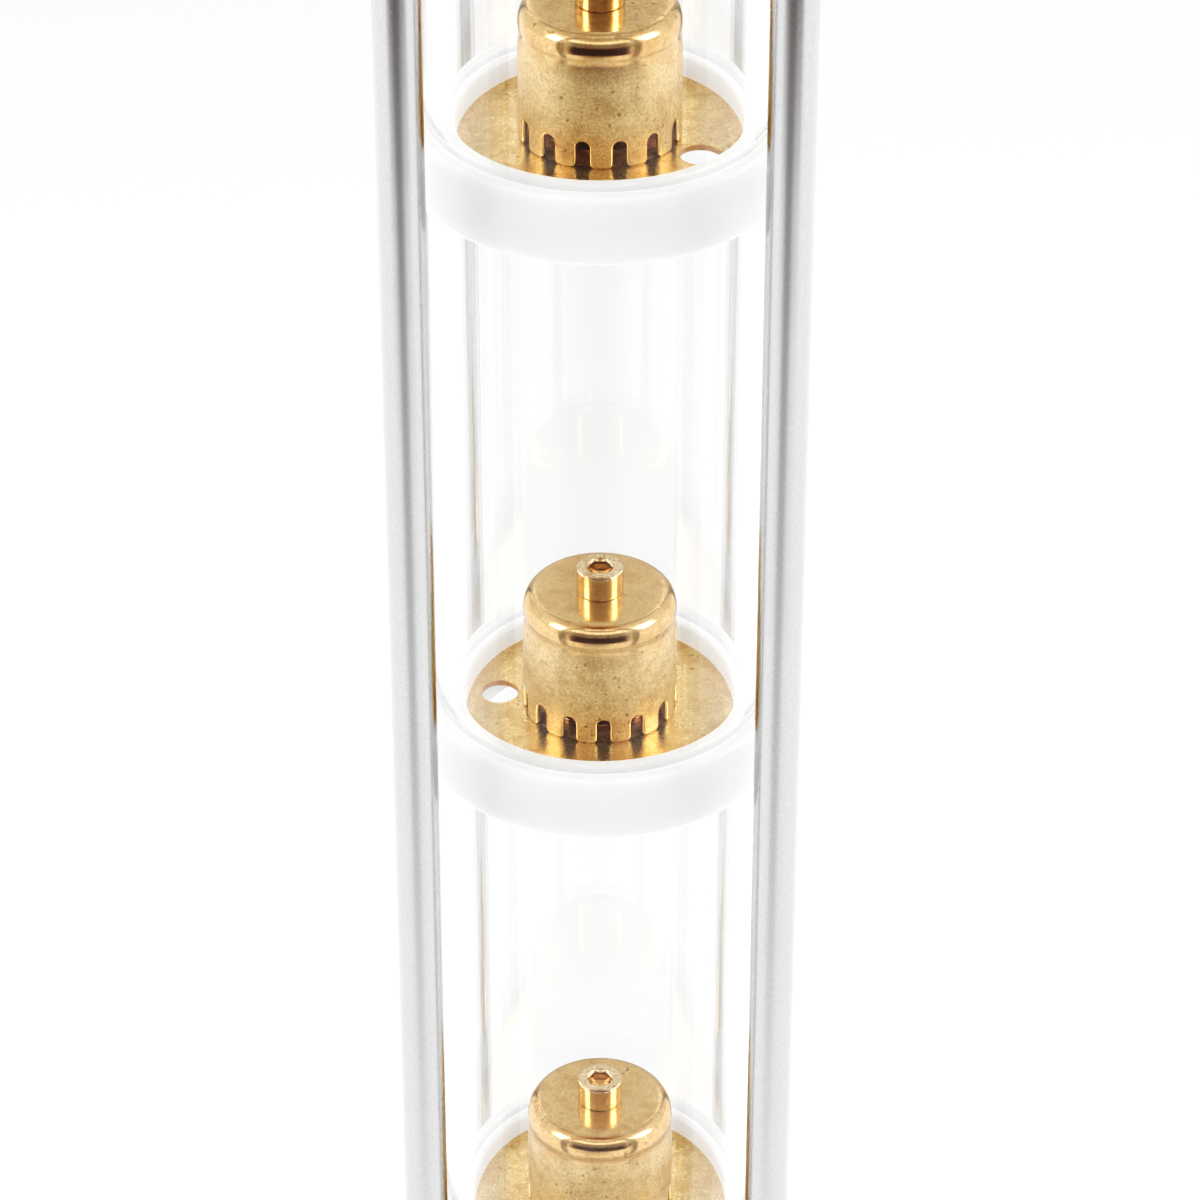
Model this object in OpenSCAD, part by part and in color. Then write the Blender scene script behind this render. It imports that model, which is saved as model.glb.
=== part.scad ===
// Bubble-cap distillation column: four glass sections, three brass plates with
// one bubble cap each, silicone seals, and four tie rods between two end flanges.
// Millimetres, +Z up. The origin is the centre of the bottom ferrule's lower face.

/* [Glass] */
// Outside diameter of the glass sections
glass_od = 60; // [58:0.5:62]
// Wall thickness of the glass
glass_wall = 3.5; // [3:0.25:4]
// Length of one glass section
glass_len = 111; // [90:1:160]

/* [Silicone seals] */
// Outside diameter of the seals
seal_od = 65; // [64.5:0.25:67]
// Bore of the seals
seal_bore = 49.2; // [48:0.2:50]
// Thickness of silicone between two glass sections
seal_web = 7; // [6.5:0.5:9]
// Depth of the groove that takes the end of a glass section
seal_groove = 3; // [2:0.5:4]
// Thickness of silicone between a glass end and an end flange
gasket_web = 3.5; // [3:0.5:5]
// Length of glass that an end gasket's outer lip covers
gasket_lip = 5; // [3:0.5:7]

/* [Plates] */
// Diameter of a bubble plate
plate_d = 57; // [56:0.25:58]
// Thickness of a bubble plate
plate_t = 1.2; // [1:0.1:1.5]
// Depth of a plate's top face below the top of its seal
plate_drop = 4; // [3.8:0.1:4.4]
// Diameter of the downcomer hole
downcomer_d = 7; // [6:0.5:8]
// Distance of the downcomer hole from the column's axis
downcomer_r = 18.8; // [18.2:0.1:19.6]

/* [Bubble caps] */
// Outside diameter of a cap
cap_d = 28; // [27:0.5:28.5]
// Height of a cap
cap_h = 24.4; // [23:0.2:27]
// Wall thickness of a cap
cap_wall = 1; // [0.8:0.1:1.2]
// Radius of the drawn edge around a cap's top
cap_edge = 3; // [2:0.25:4]
// Number of vapour slots around a cap's skirt
slot_count = 14; // [10:1:16]
// Width of a vapour slot
slot_w = 2.4; // [2:0.1:3]
// Height of a vapour slot
slot_h = 5; // [4:0.5:7]

/* [Risers] */
// Outside diameter of a vapour riser
riser_d = 16; // [15.5:0.5:17]
// Wall thickness of a riser
riser_wall = 1; // [0.8:0.1:1.2]
// Height of a riser above its plate
riser_h = 15; // [14:0.5:17]

/* [Tie rods and ends] */
// Diameter of a tie rod
rod_d = 8; // [7:0.5:8]
// Distance of each rod from the two centre planes of the column
rod_offset = 32; // [31.5:0.25:33]
// Diameter of an end flange
flange_d = 110; // [108:1:120]
// Thickness of an end flange
flange_t = 12; // [10:1:15]
// Length of a sanitary ferrule
ferrule_len = 21.5; // [21:0.5:28]

/* [Hidden] */
$fn = 96;
plate_count = 3;
eps = 1;           // how far a cutting tool runs past a face
fit_gap = 0.1;     // radial gap of a seal around glass or plate
thread_gap = 0.05; // radial gap of a plain bore that stands for a thread

// glass and seals
glass_r = glass_od / 2;
glass_in_r = glass_r - glass_wall;
glass_edge = 0.5;
groove_in_r = glass_in_r - fit_gap;
groove_out_r = glass_r + fit_gap;
seal_r = seal_od / 2;
seal_in_r = seal_bore / 2;
seal_edge = 0.8;
recess_depth = 2;
recess_r = seal_r + fit_gap;
pitch = glass_len + seal_web;

// heights along the axis
flange_z = ferrule_len;
gasket_z = flange_z + flange_t - recess_depth;
glass_z = gasket_z + gasket_web;
glass_end_z = glass_z + plate_count * pitch + glass_len;
top_gasket_z = glass_end_z + gasket_web;
total_h = top_gasket_z + gasket_z;
first_web_z = glass_z + glass_len;

// sanitary ferrule for a 2 inch clamp
ferrule_in_r = 23.9;
ferrule_tube_r = 25.4;
ferrule_rim_r = 32;
ferrule_rim_t = 1.9;
ferrule_slope = 20;
ferrule_groove_r = 28.2;
ferrule_groove_d = 3.2;
flange_edge = 1;

// plate and riser
riser_r = riser_d / 2;
riser_in_r = riser_r - riser_wall;
collar_r = 10;
collar_t = 1.5;
riser_stub = 4.6;
riser_nut_af = 20;
riser_nut_t = 3;
bridge_w = 7;
bridge_t = 5;
bridge_top = riser_h - 1;
// bearing of the downcomer hole of each plate, degrees from +X
downcomer_deg = [-16, 173, -26];

// bubble cap: bearing of one slot of each cap, degrees from +X
slot_deg = [-90, -86, -75];
cap_r = cap_d / 2;
cap_in_r = cap_r - cap_wall;
cap_edge_in = cap_edge - cap_wall;

// M5 cap screw
screw_r = 2.5;
screw_len = 16;
screw_head_r = 4.25;
screw_head_h = 5;
screw_hole_r = 2.75;
socket_af = 4;
socket_depth = 2.5;
screw_edge = 0.5;

// M8 fastenings of the tie rods
rod_r = rod_d / 2;
rod_hole_r = rod_r + 0.25;
rod_edge = 0.7;
washer_r = 8;
washer_t = 1.6;
nut_af = 13;
nut_t = 6.5;
rod_stub = 3;
stack = washer_t + nut_t + rod_stub;
rod_z = flange_z - stack;
rod_len = total_h - 2 * rod_z;

// ---- heights and places that repeat ----

function web_z(n) = first_web_z + (n - 1) * pitch;
function plate_z(n) = web_z(n) + seal_web + seal_groove - plate_drop;

module at_plate(n) {
    translate([0, 0, plate_z(n)]) children();
}

module at_rod(side, row) {
    translate([side * rod_offset, row * rod_offset, 0]) children();
}

module at_every_rod() {
    for (side = [-1, 1], row = [-1, 1]) at_rod(side, row) children();
}

// turns a piece that is drawn at the bottom end over to the top end
module at_top_end() {
    translate([0, 0, total_h]) mirror([0, 0, 1]) children();
}

// ---- outlines that repeat ----

// a rectangle from (x0, z0) to (x1, z1)
module band(x0, z0, x1, z1) {
    translate([x0, z0]) square([x1 - x0, z1 - z0]);
}

// cuts the convex corner at (x, z) to a radius; sx and sz point out of the solid
module round_corner(x, z, sx, sz, r) {
    translate([x - sx * r, z - sz * r]) mirror([sx < 0 ? 1 : 0, 0]) mirror([0, sz < 0 ? 1 : 0])
        difference() {
            square(r + eps);
            circle(r = r);
        }
}

// a round bar with both ends chamfered
module chamfered_bar(r, length, edge) {
    rotate_extrude() polygon([
        [0, 0], [r - edge, 0], [r, edge],
        [r, length - edge], [r - edge, length], [0, length]
    ]);
}

// a hexagon nut, its corners turned off at 30 degrees on both faces
module hex_nut(af, t, hole_r) {
    corner_r = af / 2 / cos(30);
    drop = (corner_r - af / 2) * tan(30);
    difference() {
        intersection() {
            cylinder(r = corner_r, h = t, $fn = 6);
            rotate_extrude() polygon([
                [0, 0], [af / 2, 0], [corner_r + eps, drop + eps * tan(30)],
                [corner_r + eps, t - drop - eps * tan(30)], [af / 2, t], [0, t]
            ]);
        }
        translate([0, 0, -eps]) cylinder(r = hole_r, h = t + 2 * eps);
    }
}

// ---- ends ----

module ferrule() {
    slope_h = (ferrule_rim_r - ferrule_tube_r) * tan(ferrule_slope);
    rotate_extrude() difference() {
        polygon([
            [ferrule_in_r, 0], [ferrule_rim_r, 0], [ferrule_rim_r, ferrule_rim_t],
            [ferrule_tube_r, ferrule_rim_t + slope_h],
            [ferrule_tube_r, ferrule_len], [ferrule_in_r, ferrule_len]
        ]);
        translate([ferrule_groove_r, 0]) circle(d = ferrule_groove_d);
    }
}

module flange() {
    difference() {
        translate([0, 0, flange_z]) rotate_extrude() difference() {
            band(ferrule_in_r, 0, flange_d / 2, flange_t);
            band(0, flange_t - recess_depth, recess_r, flange_t + eps);
            round_corner(flange_d / 2, 0, 1, -1, flange_edge);
            round_corner(flange_d / 2, flange_t, 1, 1, flange_edge);
        }
        at_every_rod() translate([0, 0, flange_z - eps]) cylinder(r = rod_hole_r, h = flange_t + 2 * eps);
    }
}

// U-section ring between a glass end and its flange
module gasket() {
    translate([0, 0, gasket_z]) rotate_extrude() difference() {
        band(seal_in_r, 0, seal_r, gasket_web + gasket_lip);
        band(0, gasket_web + seal_groove, groove_in_r + eps, gasket_web + gasket_lip + eps);
        band(groove_in_r, gasket_web, groove_out_r, gasket_web + gasket_lip + eps);
        round_corner(seal_r, gasket_web + gasket_lip, 1, 1, seal_edge);
    }
}

module bottom_ferrule() {
    color("#b8babd") ferrule();
}

module top_ferrule() {
    color("#b8babd") at_top_end() ferrule();
}

module bottom_flange() {
    color("#aeb1b4") flange();
}

module top_flange() {
    color("#aeb1b4") at_top_end() flange();
}

module bottom_gasket() {
    color("#f2f2ef") gasket();
}

module top_gasket() {
    color("#f2f2ef") at_top_end() gasket();
}

// ---- glass sections and plate seals ----

module glass_tube(n) {
    color("#dfe9ec", 0.35) translate([0, 0, glass_z + (n - 1) * pitch]) rotate_extrude() difference() {
        band(glass_in_r, 0, glass_r, glass_len);
        round_corner(glass_r, 0, 1, -1, glass_edge);
        round_corner(glass_r, glass_len, 1, 1, glass_edge);
        round_corner(glass_in_r, 0, -1, -1, glass_edge);
        round_corner(glass_in_r, glass_len, -1, 1, glass_edge);
    }
}

// H-section ring: a groove for the glass above and below, a slot for the plate inside
module plate_seal(n) {
    slot_top = seal_web + seal_groove - plate_drop;
    color("#f2f2ef") translate([0, 0, web_z(n)]) rotate_extrude() difference() {
        band(seal_in_r, -seal_groove, seal_r, seal_web + seal_groove);
        band(groove_in_r, -seal_groove - eps, groove_out_r, 0);
        band(groove_in_r, seal_web, groove_out_r, seal_web + seal_groove + eps);
        band(0, slot_top - plate_t, plate_d / 2 + fit_gap, slot_top);
        round_corner(seal_r, -seal_groove, 1, -1, seal_edge);
        round_corner(seal_r, seal_web + seal_groove, 1, 1, seal_edge);
    }
}

// ---- plates and risers ----

module bubble_plate(n) {
    color("#c79b55") at_plate(n) translate([0, 0, -plate_t]) difference() {
        cylinder(d = plate_d, h = plate_t);
        translate([0, 0, -eps]) cylinder(r = riser_r + thread_gap, h = plate_t + 2 * eps);
        rotate([0, 0, downcomer_deg[n - 1]]) translate([downcomer_r, 0, -eps])
            cylinder(d = downcomer_d, h = plate_t + 2 * eps);
    }
}

// vapour riser: a tube with a collar that stands on the plate
module riser(n) {
    color("#b98c48") at_plate(n) rotate_extrude() union() {
        band(riser_in_r, -plate_t - riser_stub, riser_r, riser_h);
        band(riser_in_r, 0, collar_r, collar_t);
    }
}

// lock nut that holds the riser to the underside of the plate
module riser_nut(n) {
    color("#c29650") at_plate(n) translate([0, 0, -plate_t - riser_nut_t])
        hex_nut(riser_nut_af, riser_nut_t, riser_r + thread_gap);
}

// bar across the riser that holds the cap screw's thread
module riser_bridge(n) {
    color("#b98c48") at_plate(n) translate([0, 0, bridge_top - bridge_t]) difference() {
        intersection() {
            translate([-riser_r, -bridge_w / 2, 0]) cube([riser_d, bridge_w, bridge_t]);
            translate([0, 0, -eps]) cylinder(r = riser_in_r, h = bridge_t + 2 * eps);
        }
        translate([0, 0, -eps]) cylinder(r = screw_r + thread_gap, h = bridge_t + 2 * eps);
    }
}

// ---- bubble caps and their screws ----

// tool for one vapour slot: open at the foot of the skirt, round at the top
module slot_tool() {
    arch_r = slot_w / 2;
    translate([cap_in_r - eps, -arch_r, -eps]) cube([cap_wall + 2 * eps, slot_w, slot_h - arch_r + eps]);
    translate([cap_in_r - eps, 0, slot_h - arch_r]) rotate([0, 90, 0])
        cylinder(r = arch_r, h = cap_wall + 2 * eps);
}

module bubble_cap(n) {
    color("#d4ad68") at_plate(n) difference() {
        rotate_extrude() difference() {
            band(screw_hole_r, 0, cap_r, cap_h);
            round_corner(cap_r, cap_h, 1, 1, cap_edge);
            difference() {
                band(0, -eps, cap_in_r, cap_h - cap_wall);
                round_corner(cap_in_r, cap_h - cap_wall, 1, 1, cap_edge_in);
            }
        }
        for (k = [0 : slot_count - 1])
            rotate([0, 0, slot_deg[n - 1] + k * 360 / slot_count]) slot_tool();
    }
}

// socket-head cap screw, its head standing on the cap
module cap_screw(n) {
    color("#d8b470") at_plate(n) translate([0, 0, cap_h]) difference() {
        rotate_extrude() polygon([
            [0, -screw_len], [screw_r - screw_edge, -screw_len], [screw_r, screw_edge - screw_len],
            [screw_r, 0], [screw_head_r, 0], [screw_head_r, screw_head_h - screw_edge],
            [screw_head_r - screw_edge, screw_head_h], [0, screw_head_h]
        ]);
        translate([0, 0, screw_head_h - socket_depth])
            cylinder(d = socket_af / cos(30), h = socket_depth + eps, $fn = 6);
    }
}

// ---- tie rods and their fastenings ----

module tie_rod(side, row) {
    color("#a9abae") at_rod(side, row) translate([0, 0, rod_z]) chamfered_bar(rod_r, rod_len, rod_edge);
}

module washers() {
    at_every_rod() translate([0, 0, flange_z - washer_t]) difference() {
        cylinder(r = washer_r, h = washer_t);
        translate([0, 0, -eps]) cylinder(r = rod_hole_r, h = washer_t + 2 * eps);
    }
}

module rod_nut() {
    translate([0, 0, flange_z - washer_t - nut_t]) hex_nut(nut_af, nut_t, rod_r + thread_gap);
}

module bottom_washers() {
    color("#c0c2c4") washers();
}

module top_washers() {
    color("#c0c2c4") at_top_end() washers();
}

module bottom_nuts() {
    color("#b4b6b9") at_every_rod() rod_nut();
}

module top_nut(side, row) {
    color("#b4b6b9") at_top_end() at_rod(side, row) rod_nut();
}

bottom_ferrule();
bottom_flange();
bottom_gasket();
plate_seal(1);  // plate_seal_1
plate_seal(2);  // plate_seal_2
plate_seal(3);  // plate_seal_3
bubble_plate(1);  // bubble_plate_1
bubble_plate(2);  // bubble_plate_2
bubble_plate(3);  // bubble_plate_3
riser(1);  // riser_1
riser(2);  // riser_2
riser(3);  // riser_3
riser_nut(1);  // riser_nut_1
riser_nut(2);  // riser_nut_2
riser_nut(3);  // riser_nut_3
riser_bridge(1);  // riser_bridge_1
riser_bridge(2);  // riser_bridge_2
riser_bridge(3);  // riser_bridge_3
bubble_cap(1);  // bubble_cap_1
bubble_cap(2);  // bubble_cap_2
bubble_cap(3);  // bubble_cap_3
cap_screw(1);  // cap_screw_1
cap_screw(2);  // cap_screw_2
cap_screw(3);  // cap_screw_3
tie_rod(-1, -1);  // tie_rod_front_left
tie_rod(1, -1);  // tie_rod_front_right
tie_rod(-1, 1);  // tie_rod_rear_left
tie_rod(1, 1);  // tie_rod_rear_right
bottom_washers();
bottom_nuts();
top_washers();
top_nut(-1, -1);  // top_nut_front_left
top_nut(1, -1);  // top_nut_front_right
top_nut(-1, 1);  // top_nut_rear_left
top_nut(1, 1);  // top_nut_rear_right
top_gasket();
top_flange();
top_ferrule();
glass_tube(1);  // glass_tube_1
glass_tube(2);  // glass_tube_2
glass_tube(3);  // glass_tube_3
glass_tube(4);  // glass_tube_4
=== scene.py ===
import math

import bmesh
import bpy
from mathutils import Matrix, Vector


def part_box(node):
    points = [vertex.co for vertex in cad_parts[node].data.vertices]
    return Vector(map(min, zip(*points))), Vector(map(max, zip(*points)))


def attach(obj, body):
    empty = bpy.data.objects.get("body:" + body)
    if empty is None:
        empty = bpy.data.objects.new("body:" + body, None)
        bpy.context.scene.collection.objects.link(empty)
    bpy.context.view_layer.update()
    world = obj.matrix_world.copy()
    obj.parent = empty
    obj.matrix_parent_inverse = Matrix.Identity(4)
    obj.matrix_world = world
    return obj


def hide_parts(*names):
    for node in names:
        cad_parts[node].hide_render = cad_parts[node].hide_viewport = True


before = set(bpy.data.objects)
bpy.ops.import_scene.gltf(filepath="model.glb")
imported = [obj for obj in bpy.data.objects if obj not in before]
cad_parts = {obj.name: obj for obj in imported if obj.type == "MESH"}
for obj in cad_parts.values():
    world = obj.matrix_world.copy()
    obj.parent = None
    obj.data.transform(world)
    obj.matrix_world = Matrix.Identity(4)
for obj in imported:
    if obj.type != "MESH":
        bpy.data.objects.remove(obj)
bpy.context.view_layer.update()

PLATES = (1, 2, 3)
SECTIONS = (1, 2, 3, 4)
ENDS = ("bottom", "top")
CORNERS = ("front_left", "front_right", "rear_left", "rear_right")
MM = 0.001

# camera: degrees down and round from the front; its distance and its aim above the middle plate in metres
CAMERA_DOWN_DEG = 33.7
CAMERA_ROUND_DEG = 1.3
CAMERA_DISTANCE = 0.908
CAMERA_LENS = 150.5
CAMERA_AIM = 0.02105

# height in metres that the soft boxes face, and that the mirrored room is laid out from
ROOM_MIDDLE = 0.3

# bearings from +X, in degrees: each plate's downcomer hole, and one slot of each cap
DOWNCOMER_DEG = (-16, 173, -26)
SLOT_DEG = (-90, -86, -75)

# all sizes from here on are in millimetres

# glass sections
GLASS_IN = 26.5
GLASS_OUT = 30
GLASS_LENGTH = 111

# silicone clings to the glass, so each groove reaches GLASS_SINK into it
GLASS_SINK = 0.02
GROOVE_IN = GLASS_IN + GLASS_SINK
GROOVE_OUT = GLASS_OUT - GLASS_SINK
SEAL_BORE = 24.6
SEAL_R = 32.5

# plates and risers
PLATE_R = 28.5
PLATE_H = 1.2
PLATE_BORE = 8.05
HOLE_R = 3.5
HOLE_REACH = 18.8
RISER_R = 8
RISER_BORE = 7

# bubble caps
CAP_R = 14
CAP_WALL = 1
CAP_IN = CAP_R - CAP_WALL
CAP_H = 24.4
SLOT_COUNT = 14
SLOT_W = 2.4
SLOT_H = 5
TOOTH_ROUND = 0.95
TOOTH_MIDDLE = math.pi * CAP_R / SLOT_COUNT
SKIRT_TOP = 7.5
EDGE_ROLL = 0.38

# the arc of a cap's top edge: its radius, its centre's distance from the axis, and the wall's slope below it
EDGE_BEND = 2.6
EDGE_AT = 11.24
EDGE_SLOPE_DEG = 11

# cap screws (M5) and tie rods (M8): radius, thread pitch and thread depth
SCREW_R, SCREW_PITCH, SCREW_DEPTH = 2.5, 0.8, 0.45
ROD_R, ROD_PITCH, ROD_DEPTH = 4, 1.25, 0.65

# each rod end's threaded length and blunt tip, and the holes that take a rod
ROD_THREAD = 20
ROD_TIP = 0.7
ROD_HOLE = 4.25

# nuts: size across the flats, height and bore; a nut's faces stop FACE_GAP short of what it turns on
NUT_ACROSS, NUT_H, NUT_BORE = 13, 6.5, 4.05
FACE_GAP = 0.01

# flanges and ferrules
FLANGE_R = 55
FLANGE_H = 12
PIPE_BORE = 23.9
PIPE_R = 25.4
FERRULE_R = 32
FERRULE_RIM = 1.9
FERRULE_H = 21.5

# how finely rounded corners and the slots' crowns are divided
ROUND_STEPS = 4
CROWN_STEPS = 8


# ---- stage: camera, floor, mirrored room, lights, world ----


def way_to(bearing, rise):
    """The direction at a bearing in degrees from the front and a rise in degrees above level."""
    turn, up = math.radians(bearing), math.radians(rise)
    return Vector((math.sin(turn) * math.cos(up), -math.cos(turn) * math.cos(up), math.sin(up)))


def make_camera():
    """Looks down on the middle plate, nearly from the front."""
    target = Vector((0, 0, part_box("bubble_plate_2")[1].z + CAMERA_AIM))
    back = way_to(CAMERA_ROUND_DEG, CAMERA_DOWN_DEG)
    data = bpy.data.cameras.new("camera")
    data.sensor_width = 36
    data.lens = CAMERA_LENS
    camera = bpy.data.objects.new("camera", data)
    camera.location = target + back * CAMERA_DISTANCE
    camera.rotation_mode = "QUATERNION"
    camera.rotation_quaternion = (-back).to_track_quat("-Z", "Y")
    bpy.context.scene.collection.objects.link(camera)
    bpy.context.scene.camera = camera


def make_floor():
    """A white paper floor, 16 m square."""
    mesh = bpy.data.meshes.new("floor")
    mesh.from_pydata([(-8, -8, 0), (8, -8, 0), (8, 8, 0), (-8, 8, 0)], [], [(0, 1, 2, 3)])
    floor = bpy.data.objects.new("floor", mesh)
    bpy.context.scene.collection.objects.link(floor)
    kit = Shader("floor_paper")
    kit.set("Base Color", (0.91, 0.91, 0.91, 1))
    kit.set("Roughness", 0.9)
    kit.set("Specular IOR Level", 0.0)
    mesh.materials.append(kit.material)


def smooth(low, high, value):
    """0 below low, 1 above high, and a soft step between them."""
    t = min(max((value - low) / (high - low), 0), 1)
    return t * t * (3 - 2 * t)


def room_level(bearing, reach, rise):
    """How bright the studio looks to a mirror: bearing is degrees from the front, reach is metres from the
    axis, and rise is degrees above level."""
    turn = abs(bearing)
    front = turn < 90
    far = smooth(0.74, 1.0, reach)
    high = smooth(2, 14, rise)
    dome = smooth(36, 42, rise)
    side = smooth(30, 60, turn) * (1 - smooth(110, 150, turn))
    # a white floor, greyer walls, and a bright strip over the front
    strip = dome * (1 - smooth(50, 62, rise)) * front
    level = 1.44 + 0.06 * side - 0.52 * high + 0.22 * high * side + 1.1 * strip
    # a narrow grey streak on the floor in front and behind, deeper further out: the rods' dark lines
    if front:
        core = smooth(-34, -12, bearing) * (1 - smooth(0, 26, bearing))
    else:
        core = 0.7 * smooth(150, 166, turn)
    depth = 0.33 * smooth(0.18, 0.46, reach) + 0.20 * smooth(0.48, 0.70, reach)
    level *= 1 - depth * core * (1 - far) * (1 - 0.5 * dome)
    # the dark end of the room beyond it, widest in front: the dark band under each cap's edge
    wide = 1 - smooth(34, 50, turn) if front else 0.6 * smooth(136, 150, turn) * (1 - high)
    dark = 0.95 - 0.4 * smooth(7, 16, rise)
    return level * (1 - dark * wide * far * (1 - dome))


def room_mesh():
    """Floor, wall and dome about the column's axis; each point stores its brightness as level."""
    # rings of (radius, height) in metres
    room_r, floor_z = 1.4, 0.002
    profile = [(0.05 + 0.045 * k, floor_z) for k in range(28)]
    profile += [(room_r, floor_z + 0.1 * k) for k in range(15)]
    profile += [(room_r - 0.135 * k, 1.45 + 0.09 * k) for k in range(1, 11)]
    turns = 120
    bm = bmesh.new()
    rings = []
    levels = []
    for k in range(turns):
        bearing = 360 * k / turns - 180
        angle = math.radians(bearing)
        ring = []
        for r, z in profile:
            ring.append(bm.verts.new((r * math.sin(angle), -r * math.cos(angle), z)))
            levels.append(room_level(bearing, r, math.degrees(math.atan2(z - ROOM_MIDDLE, r))))
        rings.append(ring)
    for k in range(turns):
        here, there = rings[k], rings[(k + 1) % turns]
        for i in range(len(profile) - 1):
            bm.faces.new((here[i], there[i], there[i + 1], here[i + 1]))
    mesh = bpy.data.meshes.new("mirror_room")
    bm.to_mesh(mesh)
    bm.free()
    mesh.attributes.new("level", "FLOAT", "POINT").data.foreach_set("value", levels)
    return mesh


def room_material():
    """Glows by its level, redder where it is dim, to rays off a mirror. All others pass through."""
    kit = Shader("mirror_room")
    glow = kit.tree.nodes.new("ShaderNodeEmission")
    level = kit.attribute("level")
    kit.tree.links.new(level, glow.inputs["Strength"])
    warmth = kit.blend(kit.ramp(level, 0.06, 0.45), (1.0, 0.42, 0.26), (1.0, 1.0, 1.0))
    kit.tree.links.new(warmth, glow.inputs["Color"])
    mirrored = kit.tree.nodes.new("ShaderNodeLightPath").outputs["Glossy Depth"]
    clear = kit.tree.nodes.new("ShaderNodeBsdfTransparent")
    mix = kit.tree.nodes.new("ShaderNodeMixShader")
    kit.tree.links.new(mirrored, mix.inputs[0])
    kit.tree.links.new(clear.outputs[0], mix.inputs[1])
    kit.tree.links.new(glow.outputs[0], mix.inputs[2])
    kit.tree.links.new(mix.outputs[0], kit.output.inputs["Surface"])
    return kit.material


def make_mirror_room():
    """The studio that only mirrors see: darker in front and behind, brighter at the sides and above."""
    mesh = room_mesh()
    room = bpy.data.objects.new("mirror_room", mesh)
    bpy.context.scene.collection.objects.link(room)
    room.visible_camera = False
    room.visible_diffuse = False
    room.visible_shadow = False
    mesh.materials.append(room_material())


def make_light(name, bearing, rise, distance, size, brightness, mirrored=True):
    """A soft box of (width, height) metres that faces the column's middle from a bearing and a rise."""
    way = way_to(bearing, rise)
    data = bpy.data.lights.new(name, "AREA")
    data.shape = "RECTANGLE"
    data.size, data.size_y = size
    data.energy = brightness * math.pi * size[0] * size[1]
    lamp = bpy.data.objects.new(name, data)
    lamp.location = Vector((0, 0, ROOM_MIDDLE)) + way * distance
    lamp.rotation_mode = "QUATERNION"
    lamp.rotation_quaternion = (-way).to_track_quat("-Z", "Y")
    lamp.visible_camera = False
    lamp.visible_glossy = mirrored
    bpy.context.scene.collection.objects.link(lamp)


def make_lights():
    make_light("softbox_left", -67, 34, 1.3, (0.42, 0.62), 5.0)
    make_light("softbox_right", 78, 34, 1.3, (0.50, 0.62), 5.0)
    make_light("softbox_top", 0, 84, 1.4, (0.60, 0.60), 2.0, mirrored=False)
    world = bpy.data.worlds.new("white_studio")
    world.use_nodes = True
    sky = world.node_tree.nodes["Background"]
    sky.inputs["Color"].default_value = (1, 1, 1, 1)
    sky.inputs["Strength"].default_value = 0.9
    bpy.context.scene.world = world


def set_film():
    """The camera's tone curve: darks a little deeper and lights a little lighter."""
    view = bpy.context.scene.view_settings
    view.view_transform = "Standard"
    view.use_curve_mapping = True
    curve = view.curve_mapping.curves[3]
    points = ((0.05, 0.006), (0.12, 0.033), (0.26, 0.165), (0.45, 0.415), (0.62, 0.62), (0.8, 0.82))
    for level, shown in points:
        curve.points.new(level, shown)
    view.curve_mapping.update()


# ---- procedural materials ----


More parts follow.
